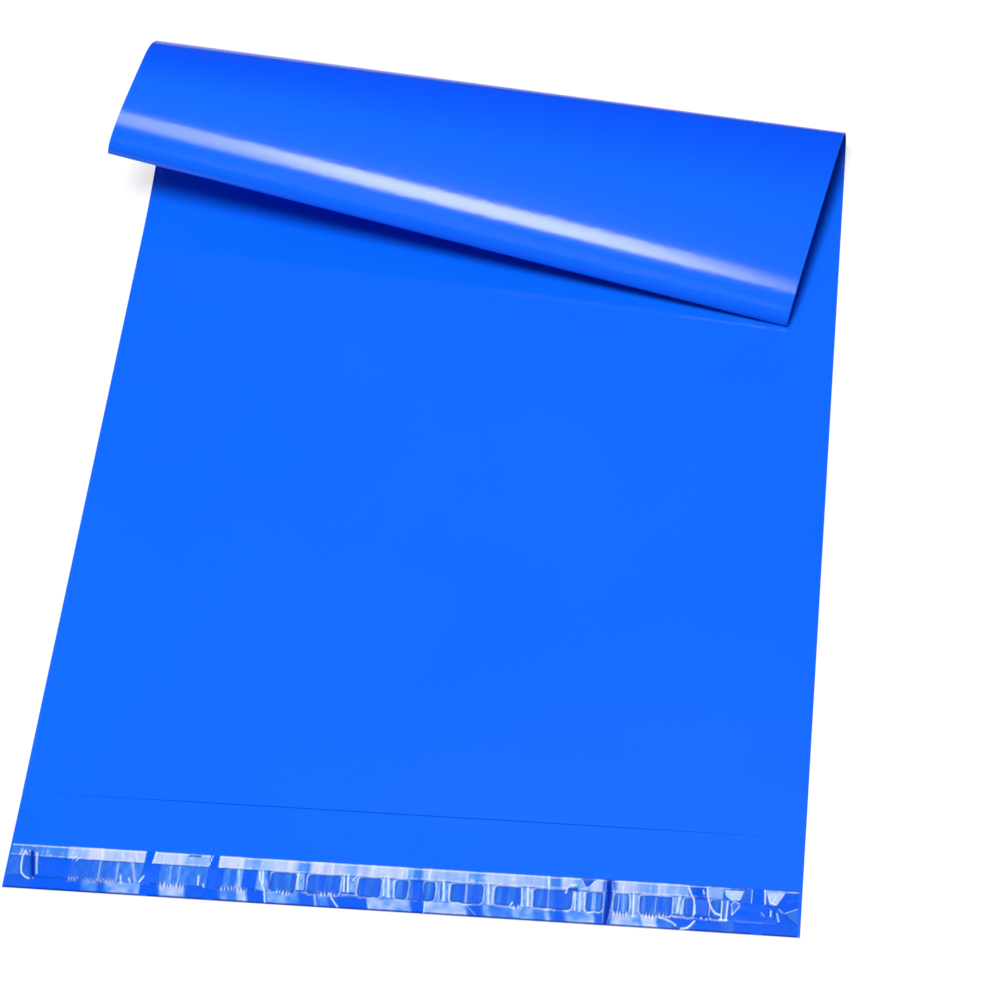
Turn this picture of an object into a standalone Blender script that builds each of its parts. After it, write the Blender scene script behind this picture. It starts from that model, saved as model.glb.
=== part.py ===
"""Poly mailer bag: a folded and side-welded film pouch with a flap, its glue band and the liner over the glue.

The bag lies on its back, front face up. +X runs across it, +Y from the flap to the closed end, +Z up.
The origin is on the underside of the back panel. The closed end is curled up and over towards the flap.
"""

import math

import bmesh
import bpy
from mathutils import Matrix, Vector

# Bag, in metres
BAG_WIDTH = 0.330
BODY_LENGTH = 0.490
FLAP_LENGTH = 0.045
FILM = 0.00006
POUCH_GAP = 0.0003
ORIGIN_FROM_FLAP_END = 0.200

# Side welds: a melted bead on the edge, the flat weld beside it and the slope up to the open pouch
BEAD_WIDTH = 0.0007
BEAD_EXTRA = 0.00012
WELD_WIDTH = 0.0015
WELD_SLOPE = 0.004

# Curl of the closed end, in stretches from the flat panel to the end of the bag
# Each has its length along the left edge, its length along the right edge and its number of folds
CURL_RISE = (0.0823, 0.0163, 5)
CURL_TURN = (0.0526, 0.0219, 24)
CURL_BACK = (0.0324, 0.0808, 3)
CURL_HOOK = (0.0180, 0.0180, 4)
CURL_LIP = (0.0070, 0.0070, 8)
CURL = (CURL_RISE, CURL_TURN, CURL_BACK, CURL_HOOK, CURL_LIP)
RISE_ANGLE = math.radians(13.8)
BACK_ANGLE = math.radians(4.9)
HOOK_ANGLE = math.radians(16.0)
LIP_ANGLE = math.radians(60.0)
END_FOLD_STEPS = 4

# The turn's angle is searched for, so that the curled end comes to rest this far above the front panel
CURL_REST_GAP = 0.0007
LEAST_TURN = math.radians(100)
MOST_TURN = math.radians(220)
TURN_TRIALS = 30

# Glue band on the flap
SEAT_GAP = 0.0003
GLUE_FROM_FLAP_END = 0.0049
GLUE_WIDTH = 0.0101
GLUE_HEIGHT = 0.00015
GLUE_SIDE_MARGIN = 0.0080
GLUE_CORNER = 0.0020
GLUE_CORNER_STEPS = 5

# Release liner over the glue
LINER_WIDTH = 0.0207
LINER_FILM = 0.00005
LINER_SIDE_MARGIN = 0.0010
LINER_SLOPE = 0.0012
LINER_SLOPE_STEPS = 6

# Corners this close together are one corner
JOIN_DISTANCE = 0.000001

BLUE = (0.0, 0.13, 1.0, 1.0)
GLUE_COLOUR = (0.10, 0.30, 0.95, 1.0)
LINER_COLOUR = (0.75, 0.80, 1.0, 1.0)


def clear_scene():
    for item in list(bpy.data.objects):
        bpy.data.objects.remove(item, do_unlink=True)


def make_material(name, colour, roughness):
    material = bpy.data.materials.new(name)
    material.use_nodes = True
    shader = material.node_tree.nodes["Principled BSDF"]
    shader.inputs["Base Color"].default_value = colour
    shader.inputs["Roughness"].default_value = roughness
    shader.inputs["Metallic"].default_value = 0.0
    return material


def make_object(name, builder, material, crease):
    """Turns a filled bmesh into a named object, smooth but for edges sharper than the crease angle."""
    bmesh.ops.recalc_face_normals(builder, faces=builder.faces)
    mesh = bpy.data.meshes.new(name)
    builder.to_mesh(mesh)
    builder.free()
    mesh.materials.append(material)
    mesh.shade_smooth()
    mesh.set_sharp_from_angle(angle=crease)
    piece = bpy.data.objects.new(name, mesh)
    bpy.context.scene.collection.objects.link(piece)
    return piece


class Line:
    """A straight line across the flat sheet, and where the curl carries it.

    left and right are its distances from the flap end along the two side edges. place carries the flat sheet
    to its curled place, and lift points out of the sheet on its front side, long enough to mitre the fold.
    """

    def __init__(self, left, right, place, lift):
        self.left = left
        self.right = right
        self.place = place
        self.lift = lift

    def point(self, across, height):
        share = across / BAG_WIDTH + 0.5
        along = self.left + (self.right - self.left) * share
        return self.place @ Vector((across, along, 0.0)) + self.lift * height


def flat_lines():
    """The flap's end and the pouch's mouth, both on the flat part of the sheet."""
    place = Matrix.Translation((0.0, -ORIGIN_FROM_FLAP_END, 0.0))
    up = Vector((0.0, 0.0, 1.0))
    return Line(0.0, 0.0, place, up), Line(FLAP_LENGTH, FLAP_LENGTH, place, up)


def curl_lines(turn_angle):
    """The fold lines of the curl, and the placing of the sheet past the last of them.

    Each fold turns the rest of the sheet about a straight line drawn on it, so the film is bent and never
    stretched. The lines fan out, which makes the curl a cone: wide at the left edge, tight at the right.
    """
    total = FLAP_LENGTH + BODY_LENGTH
    left = total - sum(stretch[0] for stretch in CURL)
    right = total - sum(stretch[1] for stretch in CURL)
    place = Matrix.Translation((0.0, -ORIGIN_FROM_FLAP_END, 0.0))
    angles = (RISE_ANGLE, turn_angle, BACK_ANGLE, HOOK_ANGLE, LIP_ANGLE)
    lines = []
    for (left_length, right_length, folds), stretch_angle in zip(CURL, angles):
        angle = stretch_angle / folds
        for fold in range(folds):
            share = (fold + 0.5) / folds
            fold_left = left + left_length * share
            fold_right = right + right_length * share
            pivot = Vector((-BAG_WIDTH / 2, fold_left, 0.0))
            axis = Vector((BAG_WIDTH / 2, fold_right, 0.0)) - pivot
            turned = Matrix.Rotation(angle, 4, axis)
            after = place @ Matrix.Translation(pivot) @ turned @ Matrix.Translation(-pivot)
            lift = place.to_3x3().col[2] + after.to_3x3().col[2]
            lift = lift.normalized() / math.cos(angle / 2)
            lines.append(Line(fold_left, fold_right, place, lift))
            place = after
        left += left_length
        right += right_length
    return lines, place


def rest_height(turn_angle):
    """Height of the lowest point past the turn above the front panel."""
    lines, end_place = curl_lines(turn_angle)
    thickness = 2 * FILM + POUCH_GAP
    tail = lines[CURL_RISE[2] + CURL_TURN[2]:]
    heights = []
    for across in (-BAG_WIDTH / 2, BAG_WIDTH / 2):
        end = end_place @ Vector((across, FLAP_LENGTH + BODY_LENGTH, thickness))
        heights.append(end.z)
        heights.extend(line.point(across, thickness).z for line in tail)
    return min(heights) - thickness


def resting_turn():
    """The turn's angle at which the curled end has come down to its gap above the front panel."""
    least, most = LEAST_TURN, MOST_TURN
    for trial in range(TURN_TRIALS):
        middle = (least + most) / 2
        if rest_height(middle) > CURL_REST_GAP:
            least = middle
        else:
            most = middle
    return least


def half_round(across, middle, radius, place):
    """Points round the closed end's fold, from the back panel's side to the front panel's side."""
    along = FLAP_LENGTH + BODY_LENGTH - FILM - POUCH_GAP / 2
    points = []
    for step in range(END_FOLD_STEPS + 1):
        angle = math.pi * step / END_FOLD_STEPS
        offset = Vector((across, along + radius * math.sin(angle), middle - radius * math.cos(angle)))
        points.append(place @ offset)
    return points


def side_stations():
    """Places across the bag, each with its pouch gap and the extra thickness of its bead."""
    edge = BAG_WIDTH / 2
    half = (
        (edge, 0.0, BEAD_EXTRA),
        (edge - BEAD_WIDTH, 0.0, 0.0),
        (edge - WELD_WIDTH, 0.0, 0.0),
        (edge - WELD_WIDTH - WELD_SLOPE, POUCH_GAP, 0.0),
    )
    left = [(-across, gap, bead) for across, gap, bead in half]
    return left + list(reversed(half))


def add_row(builder, points):
    return [builder.verts.new(point) for point in points]


def add_skin(builder, row, other):
    for a, b, c, d in zip(row, row[1:], other[1:], other):
        builder.faces.new((a, b, c, d))


def add_side(builder, under, end, front, ledge):
    """Closes a side edge: the flap's own thickness, then both films from the mouth to the closed end."""
    flap_top, mouth_top = ledge
    builder.faces.new((under[0], under[1], mouth_top, flap_top))
    builder.faces.new((under[1], under[2], front[1], front[0], mouth_top))
    for index in range(2, len(under) - 1):
        builder.faces.new((under[index], under[index + 1], front[index], front[index - 1]))
    builder.faces.new(end)


def build_film(material):
    """The bag: back panel with flap, fold at the closed end, front panel, and an open pouch between them."""
    builder = bmesh.new()
    flap_end, mouth = flat_lines()
    folds, end_place = curl_lines(resting_turn())
    body = [mouth] + folds
    last_outside, last_pocket, last_gap = None, None, 0.0
    stations = side_stations()
    for across, gap, bead in stations:
        thickness = 2 * FILM + gap + bead
        pocket_middle = FILM + gap / 2
        under = add_row(builder, [line.point(across, 0.0) for line in [flap_end] + body])
        end = add_row(builder, half_round(across, thickness / 2, thickness / 2, end_place))
        front = add_row(builder, [line.point(across, thickness) for line in body])
        lip = add_row(builder, [mouth.point(across, FILM + gap)])
        ceiling = add_row(builder, [line.point(across, FILM + gap) for line in body])
        pocket_end = add_row(builder, half_round(across, pocket_middle, gap / 2, end_place))
        floor = add_row(builder, [line.point(across, FILM) for line in body])
        ledge = add_row(builder, [flap_end.point(across, FILM), mouth.point(across, FILM)])

        outside = ledge[::-1] + under + end + front[::-1] + lip
        pocket = ceiling + pocket_end[::-1] + floor[::-1]
        if last_outside:
            add_skin(builder, last_outside, outside)
        if last_pocket and (gap or last_gap):
            add_skin(builder, last_pocket, pocket)
        if across in (stations[0][0], stations[-1][0]):
            add_side(builder, under, [under[-1]] + end + [front[-1]], front, ledge)
        last_outside, last_pocket, last_gap = outside, pocket, gap

    loose = [vert for vert in builder.verts if not vert.link_faces]
    bmesh.ops.delete(builder, geom=loose, context="VERTS")
    bmesh.ops.remove_doubles(builder, verts=builder.verts, dist=JOIN_DISTANCE)
    return make_object("bag_film", builder, material, math.radians(40))


def rounded_outline(left, right, low, high):
    """Corner points of the glue band's rounded outline, counter-clockwise."""
    corner = GLUE_CORNER
    centres = (
        (right - corner, low + corner, -90),
        (right - corner, high - corner, 0),
        (left + corner, high - corner, 90),
        (left + corner, low + corner, 180),
    )
    points = []
    for x, y, start in centres:
        for step in range(GLUE_CORNER_STEPS + 1):
            angle = math.radians(start + 90 * step / GLUE_CORNER_STEPS)
            points.append((x + corner * math.cos(angle), y + corner * math.sin(angle)))
    return points


def raise_faces(builder, faces, offset):
    """Extrudes faces by an offset, so that they become a closed body."""
    grown = bmesh.ops.extrude_face_region(builder, geom=faces)
    moved = [item for item in grown["geom"] if isinstance(item, bmesh.types.BMVert)]
    bmesh.ops.translate(builder, verts=moved, vec=offset)


def build_glue(material):
    """The glue band: a thin round-cornered pad along the flap."""
    builder = bmesh.new()
    low = GLUE_FROM_FLAP_END - ORIGIN_FROM_FLAP_END
    half = BAG_WIDTH / 2 - GLUE_SIDE_MARGIN
    base = FILM + SEAT_GAP
    outline = rounded_outline(-half, half, low, low + GLUE_WIDTH)
    face = builder.faces.new(add_row(builder, [(x, y, base) for x, y in outline]))
    raise_faces(builder, [face], (0.0, 0.0, GLUE_HEIGHT))
    return make_object("adhesive_strip", builder, material, math.radians(30))


def liner_profile():
    """Underside of the liner from the flap's end inwards: on the flap, up over the glue and down again."""
    low = FILM + SEAT_GAP
    rise = GLUE_HEIGHT + SEAT_GAP
    up_start = GLUE_FROM_FLAP_END - SEAT_GAP - LINER_SLOPE
    down_start = GLUE_FROM_FLAP_END + GLUE_WIDTH + SEAT_GAP
    points = [(0.0, low)]
    for start, bottom, change in ((up_start, low, rise), (down_start, low + rise, -rise)):
        for step in range(LINER_SLOPE_STEPS + 1):
            share = step / LINER_SLOPE_STEPS
            ease = (1 - math.cos(math.pi * share)) / 2
            points.append((start + LINER_SLOPE * share, bottom + change * ease))
    points.append((LINER_WIDTH, low))
    return points


def build_liner(material):
    """The release liner: a clear film over the glue band that comes down on the flap on both sides of it."""
    builder = bmesh.new()
    half = BAG_WIDTH / 2 - LINER_SIDE_MARGIN
    under = [(-half, y - ORIGIN_FROM_FLAP_END, z) for y, z in liner_profile()]
    over = [(x, y, z + LINER_FILM) for x, y, z in under]
    low_row, high_row = add_row(builder, under), add_row(builder, over)
    add_skin(builder, low_row, high_row)
    raise_faces(builder, list(builder.faces), (2 * half, 0.0, 0.0))
    return make_object("release_liner", builder, material, math.radians(30))


def main():
    clear_scene()
    build_film(make_material("blue_film", BLUE, 0.28))
    build_glue(make_material("hot_melt_glue", GLUE_COLOUR, 0.20))
    build_liner(make_material("clear_liner", LINER_COLOUR, 0.12))


main()
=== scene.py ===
"""Looks, light and camera for the poly mailer bag, laid out as an add-on and run as a script.

Every length below is in metres unless its name ends in _MM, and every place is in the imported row's frame.
"""

import math

import bmesh
import bpy
import numpy as np
from bpy.props import FloatProperty, FloatVectorProperty, IntProperty, PointerProperty
from mathutils import Matrix, Vector


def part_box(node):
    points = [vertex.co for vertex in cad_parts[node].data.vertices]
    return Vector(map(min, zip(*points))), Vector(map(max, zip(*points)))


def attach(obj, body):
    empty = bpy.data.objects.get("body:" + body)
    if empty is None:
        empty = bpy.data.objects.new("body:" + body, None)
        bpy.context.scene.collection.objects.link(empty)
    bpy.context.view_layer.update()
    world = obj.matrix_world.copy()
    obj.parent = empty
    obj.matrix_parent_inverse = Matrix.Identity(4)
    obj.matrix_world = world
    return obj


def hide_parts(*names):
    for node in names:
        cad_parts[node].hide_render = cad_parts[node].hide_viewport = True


bl_info = {
    "name": "Poly mailer bag",
    "version": (1, 0, 0),
    "blender": (4, 5, 0),
    "location": "3D View > Sidebar > Bag",
    "description": "Builds the film bag, its glue band and liner, and a studio round them",
    "category": "Object",
}

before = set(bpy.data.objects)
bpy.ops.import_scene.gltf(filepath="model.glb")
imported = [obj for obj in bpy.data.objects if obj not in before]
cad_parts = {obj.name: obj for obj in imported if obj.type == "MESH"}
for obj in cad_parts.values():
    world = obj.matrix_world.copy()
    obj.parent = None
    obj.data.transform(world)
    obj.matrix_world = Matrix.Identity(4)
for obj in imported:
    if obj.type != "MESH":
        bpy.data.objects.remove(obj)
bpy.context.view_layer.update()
GLUE_LOW, GLUE_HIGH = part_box("adhesive_strip")
LINER_LOW, LINER_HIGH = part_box("release_liner")
FLAP_END = LINER_LOW[1]
MM = 0.001
SHARP_ANGLE = math.radians(35)
JOIN_DISTANCE = 0.000001

# The curl, from the flat panel to the closed end: length on the left edge, on the right edge, and turn
CURL_STRETCHES = (
    (0.0823, 0.0163, math.radians(13.8)),
    (0.0526, 0.0219, math.radians(168.56)),
    (0.0324, 0.0808, math.radians(4.9)),
    (0.0180, 0.0180, math.radians(16.0)),
    (0.0070, 0.0070, math.radians(60.0)),
)
FLAP_ROWS = 16
FACE_ROWS = 46
END_STEPS = 6
# Where the painted shade on the curl's crest, a deeper blue, is full, starts to fade and is gone: before,
# before and after the turn's end, in shares of the turn and of the stretch after it
CREST_FULL = 0.4
CREST_HELD = 0.1
CREST_GONE = 0.62

# The side welds, the slope beside them that opens the pouch, and the melted bead on each edge
WELD_WIDTH = 0.0015
WELD_SLOPE = 0.004
BEAD_WIDTH = 0.0007
BEAD_EXTRA = 0.00012
# Share of the pouch gap at the welds, what the middle has on top of it, and how far in that grows
GAP_AT_WELD = 0.15
GAP_GROWTH = 1.25
GAP_REACH = 0.10
# The front panel's waves: their length, and how far from the sides, the mouth and the curl they are full
WAVE_LENGTH = 0.16
WAVE_FROM_SIDE = 0.03
WAVE_FROM_MOUTH = 0.12
WAVE_FROM_CURL = 0.08
# The rise of the flap's end: how far in it reaches, how it grows, and the length of its waves
RISE_REACH = 0.062
RISE_POWER = 1.6
RISE_WAVE = 0.21

# The glue band: step along it, points round it, length of its round ends and of its wandering
GLUE_STEP = 0.0012
GLUE_SIDES = 32
GLUE_END = 0.002
GLUE_WANDER = 0.011
# Where the liner comes down, from the glue's far edge, how much lower than the glue, and its flat rim
LINER_DOWN = (-0.0004, 0.0022)
LINER_BELOW_GLUE = 0.00004
LINER_RIM = 0.002

# Where the liner has wet out on the film and shows no edge: start and end along the flap
WET_OUT_MM = ((-106.9, -103.3), (-79.6, -75.8), (144.9, 149.8))
# Share of air under the liner above the glue, on it and below it: each holds from its place to the next
UPPER_AIR_MM = (
    (-165, 0.35), (-158, 0.42), (-140, 0.72), (-131, 0.98), (-125, 0.85), (-97, 0.92), (-90, 0.66),
    (-75.5, 0.98), (-65, 0.62), (-57, 0.9), (-43, 0.6), (-42, 0.48), (-37, 0.98), (-32.5, 0.8), (-23, 0.64),
    (-18, 0.78), (-13, 0.9), (3, 0.62), (6, 0.44), (9.5, 0.74), (28.5, 0.52), (36, 0.88), (40, 0.78),
    (50, 0.7), (61, 0.46), (67, 0.84), (72, 0.6), (79.5, 0.84), (84.3, 0.05), (88.4, 0.5), (90, 0.78),
    (97, 0.66), (101, 0.56), (106.5, 0.74), (110, 0.64), (119.5, 0.06),
)
GLUE_AIR_MM = (
    (-165, 0.3), (-159, 0.22), (-151.6, 0.02), (-138, 0.24), (-128.6, 0.36), (-127, 0.3), (-119, 0.42),
    (-106.3, 0.0), (-100, 0.4), (-97, 0.46), (-88, 0.36), (-79, 0.04), (-73, 0.46), (-70, 0.28),
    (-67.5, 0.6), (-64.8, 0.06), (-59, 0.62), (4.4, 0.38), (10.6, 0.62), (85, 0.05), (88, 0.62),
    (122, 0.03), (132.4, 0.4), (135.6, 0.04),
)
LOWER_AIR_MM = (
    (-165, 0.12), (-153, 0.03), (-132, 0.42), (-125, 0.12), (-122, 0.58), (-106, 0.0), (-99, 0.68),
    (-88, 0.1), (-73.5, 0.46), (-70, 0.32), (-66, 0.85), (-62, 0.06), (-54, 0.54), (-45, 0.42), (-40, 0.12),
    (-32, 0.46), (-28, 0.1), (-23, 0.03), (-11.5, 0.64), (-6, 0.58), (6.7, 0.0), (11.5, 0.7), (29.5, 0.1),
    (36, 0.52), (39, 0.34), (48, 0.54), (57, 0.32), (61.5, 0.78), (63.5, 0.25), (70, 0.52), (82, 0.12),
    (87.5, 0.64), (100, 0.3), (101, 0.8), (107, 0.34), (113, 0.1), (133, 0.22), (150, 0.08),
)
# Windows where the liner is pressed flat on the glue: start, end and share of air
WINDOWS_MM = (
    (-53, -42.5, 0.3), (-37.5, -24, 0.26), (-16.5, -7, 0.26), (-1.0, 4.2, 0.32), (10.8, 15.5, 0.3),
    (22, 35.3, 0.22), (40.2, 51, 0.28), (56.2, 72, 0.26), (77.7, 84.5, 0.4), (89, 95.2, 0.42),
    (99.6, 112.7, 0.28), (117.6, 121.2, 0.28), (128.4, 132.4, 0.28),
)
# Pieces of liner with their own share of air: the share, then the corners
PATCHES_MM = (
    (0.1, (76.6, 16.4), (78.7, 16.7), (80.6, 19.8), (75.3, 19.6)),
    (0.66, (127.3, 14.2), (132.9, 14.2), (133.4, 19.7), (126.7, 19.7)),
    (0.98, (134, 16.5), (136.5, 14.5), (140.2, 14.8), (142.3, 18.3), (141.5, 19.3), (133.6, 19.3)),
    (0.22, (139.8, 14), (144.7, 14), (144.7, 20.2), (141.9, 20.2)),
    (0.34, (137, 8.3), (140, 12), (139.6, 13.4), (138, 14), (136.9, 13)),
    (0.92, (152, 14), (155, 13.5), (158.3, 19.5), (150.4, 19.5)),
    (0.3, (158.7, 10), (161, 7.3), (164.9, 5.6), (164.9, 12.8)),
)
# Deep stretches with no air from the liner's top to the flap's end: start, end and how much of it is gone
DEEP_MM = ((6.6, 10.6, 0.9), (64.9, 67.9, 0.7), (122.4, 127, 1.0), (137.8, 149.2, 0.9))
# Rows of small teeth along the glue's lower edge, drawn as painted highlights with painted shade between
# them:
# start, end and lean
TEETH_MM = (
    (-138.5, -133.5, 0.6), (-131.5, -117, 0.9), (-100, -88, 0.1), (-74, -62, 0.3), (-50.5, -44, 0.0),
    (-33, -25, 0.2), (48, 52, 0.2), (88.6, 95.4, 0.1), (101, 111, 0.0),
)
# Painted highlights along the liner's creases: width, strength, then the places of their points, x and y in
# turn
GLINTS_MM = (
    (0.5, 0.9, -158.2, 17.5, -158.9, 14.5, -158.7, 10, -158, 7, -156.5, 5.5, -154.2, 4.5),
    (0.45, 0.9, -158.2, 17.3, -157.2, 15.6), (0.45, 0.9, -156.4, 17.6, -156, 15.6),
    (0.45, 0.9, -153.9, 17.3, -153.5, 15.4), (0.55, 1.0, -153, 16.5, -152.5, 12, -151.5, 7),
    (0.4, 0.8, -153, 6, -152.5, 4.7), (0.35, 0.9, -139.2, 14.9, -137.8, 15.9),
    (0.35, 0.9, -137.6, 14.6, -136.2, 16.2), (0.35, 0.8, -136, 14.2, -134.8, 15.3),
    (0.45, 0.9, -126, 20.5, -124.8, 16), (0.4, 0.6, -117, 19, -116, 16),
    (0.4, 0.8, -111.5, 20, -110.3, 15.8), (0.45, 0.9, -102.7, 20.6, -103.5, 15.2),
    (0.3, 0.6, -99, 20, -99, 16), (0.3, 0.6, -97.5, 20, -97.5, 16), (0.35, 0.7, -78.8, 20.3, -79.8, 15.4),
    (0.35, 0.8, -75.5, 20.4, -75.5, 15.2), (0.45, 0.8, -66.3, 20, -66, 15.8),
    (0.3, 0.6, -33.5, 20, -33.5, 16), (0.3, 0.6, -32.5, 20, -32.5, 16), (0.4, 0.8, -28, 20.3, -28, 15.4),
    (0.4, 0.8, 2.7, 20, 3.2, 15.4), (0.6, 0.8, 12.5, 20, 12.5, 16), (0.7, 0.45, 28, 20, 28.6, 6),
    (0.8, 0.9, 61.5, 20.4, 62, 15), (0.7, 0.3, 62, 15, 62.3, 6), (0.4, 0.7, 107, 20, 107, 15),
    (0.4, 0.5, -125.5, 14.4, -125.2, 6.5), (0.4, 0.5, -118, 14.4, -117.5, 6.5),
    (1.0, 0.4, -112, 15, -109.5, 6), (0.4, 1.0, -116, 8.5, -115.3, 5), (0.4, 1.0, -112.3, 7.5, -111.5, 5.5),
    (0.4, 1.0, -107.8, 6, -106.2, 9), (0.35, 0.4, -95.5, 14.2, -95.2, 6),
    (0.35, 0.4, -91.8, 14.2, -91.6, 6), (0.45, 1.0, -83.3, 10.5, -83, 6.5), (0.4, 0.9, -81, 7, -80.3, 5.5),
    (0.8, 0.4, -67, 14.8, -65.5, 6), (0.45, 1.0, -58.2, 14.5, -57.5, 11, -55, 5.5, -54, 0.6),
    (0.5, 1.0, -56.8, 14.8, -56, 9), (0.45, 0.9, -41.9, 15, -41.5, 7.5), (0.45, 0.9, -22.8, 14.8, -22, 7.5),
    (0.5, 1.0, -21.2, 15.3, -20.4, 7.5), (0.4, 0.6, -19, 13, -17.5, 15, -16, 15.5),
    (0.45, 0.8, -6.2, 14.5, -5.5, 7), (0.55, 1.0, -4.4, 15, -3.3, 6.5), (0.45, 0.8, -2, 14, -1.2, 6.5),
    (0.45, 0.7, 15.3, 14.5, 16, 12), (0.5, 1.0, 18.7, 15, 19.5, 6.5), (0.45, 0.8, 21, 14, 21.8, 6.5),
    (0.5, 1.0, 37.1, 15, 38, 6), (0.4, 0.7, 39.2, 14, 39.5, 6), (0.45, 0.7, 50.9, 14, 52, 6),
    (0.55, 1.0, 53.5, 14.5, 54.1, 6.5), (0.45, 0.8, 55.3, 14, 55.7, 6), (0.45, 1.0, 46.8, 5.5, 47.8, 7.5),
    (0.5, 0.9, 72.9, 14, 73.4, 6), (0.45, 0.9, 75, 14, 75.3, 5.5), (0.4, 0.8, 76.6, 14, 77.4, 5.5),
    (0.4, 0.8, 95.3, 14.5, 95.8, 8), (0.55, 1.0, 96.9, 14.5, 97.3, 5), (0.5, 0.9, 115.7, 15, 115, 8),
    (0.4, 0.7, 117, 13, 116.5, 7), (0.45, 1.0, 69.2, 13.4, 69.5, 15.5, 71, 17, 73, 17.2),
    (0.3, 0.5, 80.5, 14, 80.5, 6), (0.3, 0.5, 81.4, 14, 81.4, 6), (0.3, 0.4, 101.2, 14, 101.2, 6),
    (0.3, 0.4, 106, 14, 106, 6), (0.3, 0.5, 91, 14, 91, 6), (0.3, 0.5, 93.2, 14, 93.2, 6),
    (0.3, 0.6, 85, 20, 85, 1.0), (0.4, 0.9, 87.6, 19.5, 88.7, 14, 88.5, 10, 87.8, 5, 86.9, 0.5),
    (0.35, 0.7, 75.4, 19.5, 76.8, 16.4, 78.6, 16.7), (0.4, 0.9, 80.8, 19.7, 78.7, 16.7),
    (0.5, 1.0, 119, 19.3, 120.3, 16, 121.4, 14, 121.9, 11, 122.2, 8, 121.5, 6.5),
    (0.5, 1.0, 126.5, 19.5, 127, 15.5, 127.7, 13, 129, 10, 130.5, 8.3, 132.5, 7.8),
    (0.4, 0.8, 125, 18.4, 125.3, 16.6), (0.45, 0.9, 132.9, 13.8, 132.9, 5.7),
    (0.5, 0.9, 135.2, 14, 134.9, 6), (0.45, 0.9, 132, 5.5, 135.5, 5.5),
    (0.35, 0.7, 137.2, 8.2, 136.8, 13, 138, 14.2, 139.8, 13.3, 140, 12, 137.4, 8.3),
    (0.3, 0.5, 144.7, 20, 144.7, 14), (0.5, 0.9, 149.9, 20.3, 150.3, 14),
    (0.35, 0.8, 151.6, 17.6, 152.6, 14.4), (0.35, 0.8, 154.6, 18.2, 153.4, 14.4),
    (0.45, 0.9, 152.8, 11, 152.8, 8.5), (0.4, 0.8, 155.2, 9.8, 156.2, 6.5),
    (0.35, 0.6, 148.9, 9.8, 150.2, 8.4), (0.35, 0.6, 156, 12, 157.6, 10.2),
    (0.3, 0.6, 158.6, 10.3, 164.8, 13), (0.45, 0.9, -28, 6.5, -26.5, 4, -25, 2, -23.7, 0.5),
    (0.8, 0.45, -34, 5.5, -32.8, 0.5), (0.35, 0.6, -12, 5, -10.8, 0.5), (0.4, 0.7, 12, 5.2, 12, 0.5),
    (0.35, 0.4, 29, 5, 33, 1.0), (0.4, 0.8, 108, 5, 110, 4.5, 113, 3.3, 115, 1.8),
    (0.6, 0.9, 122.3, 4.2, 121, 2.5, 119.5, 1.0, 117, 0.5), (0.55, 0.9, 124.8, 5.6, 124.9, 5.9),
    (0.5, 0.9, 126.9, 5.4, 127, 5.6), (0.5, 0.9, 128.5, 5.6, 128.6, 5.8), (0.3, 0.7, 113, 5.8, 123.5, 5.8),
)
# Painted shade along the liner's creases and folds, in the same way
SHADED_CREASES_MM = (
    (2, 1.0, -155.1, 16.6, -152.9, 6.2), (0.6, 0.8, -88.5, 19.7, -84, 19.7),
    (0.8, 0.7, -54.3, 14.8, -53.1, 7), (0.5, 0.7, -38.8, 14.5, -38.2, 7), (0.4, 0.7, -22, 14.6, -21.3, 7.6),
    (0.4, 0.7, 17.8, 14, 18.3, 7), (0.4, 0.9, -42, 6.7, -35, 6.7), (0.45, 0.9, -22.8, 7, -17.5, 7),
    (0.9, 0.9, -43.6, 6, -43.3, 5.9), (1.3, 0.9, 70.6, 15.1, 73.4, 15.1),
    (2.3, 1.0, 86.5, 19.5, 86.9, 12, 86.6, 5, 86.3, 0.3), (0.5, 0.8, 75.4, 20, 80.6, 20),
    (0.4, 0.6, 122.2, 19.4, 123.2, 15.2), (0.4, 0.6, 123.6, 19.3, 124.5, 15.2),
    (0.4, 0.6, 126, 19.2, 126.3, 15.2), (0.35, 0.8, 113, 6.6, 130, 6.6),
    (0.4, 0.8, 158.3, 9.6, 161, 6.9, 164.8, 5.2), (0.4, 0.6, 150.8, 13.2, 157, 12.6),
    (0.4, 0.6, 153.9, 11.4, 154.4, 7.6), (0.35, 0.6, 136, 20, 142, 19.7),
    (0.35, 0.6, -159.7, 14, -159.4, 9, -158.4, 6.2, -156.8, 4.8),
)
# How far in the glue's lower edge shows, where the painted lines along its straight edges end, the teeth's
# spacing, and the radius of the windows' corners
GLUE_EDGE_IN_MM = 0.8
LINES_END_MM = (133.0, 134.0)
TOOTH_PITCH_MM = 1.35
WINDOW_CORNER_MM = 1.5

# The floor's size, how far it lies under the bag, its own grey and what its glow adds to show it white
FLOOR_SIZE = 12.0
FLOOR_DROP = 0.0002
FLOOR_GREY = 0.32
FLOOR_GLOW = 0.72
SOFTBOX_PLACE = (-0.30, -0.38, 2.60)
SOFTBOX_SIDE = 1.0
# The two strips high overhead that the curl reflects: name, place and length
STRIPS = (
    ("overhead_strip", (-0.58, 2.70, 10.0), 2.85),
    ("overhead_core", (-0.30, 2.70, 9.99), 1.5),
)
STRIP_WIDTH = 2.2
STRIP_AIM_Y = 0.15
SENSOR_MM = 36.0
WHITE = (1.0, 1.0, 1.0, 1.0)


def length(name, description, default):
    """A length that a user can set."""
    return FloatProperty(name=name, description=description, default=default, unit="LENGTH", precision=6)


def angle(name, description, degrees):
    """An angle that a user can set."""
    return FloatProperty(name=name, description=description, default=math.radians(degrees), subtype="ANGLE")


def power(name, description, default):
    """A lamp's power that a user can set."""
    return FloatProperty(name=name, description=description, default=default, unit="POWER")


def colour(name, description, red, green, blue):
    """A colour that a user can set."""
    return FloatVectorProperty(name=name, description=description, subtype="COLOR", size=4,
                               default=(red, green, blue, 1.0))


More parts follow.
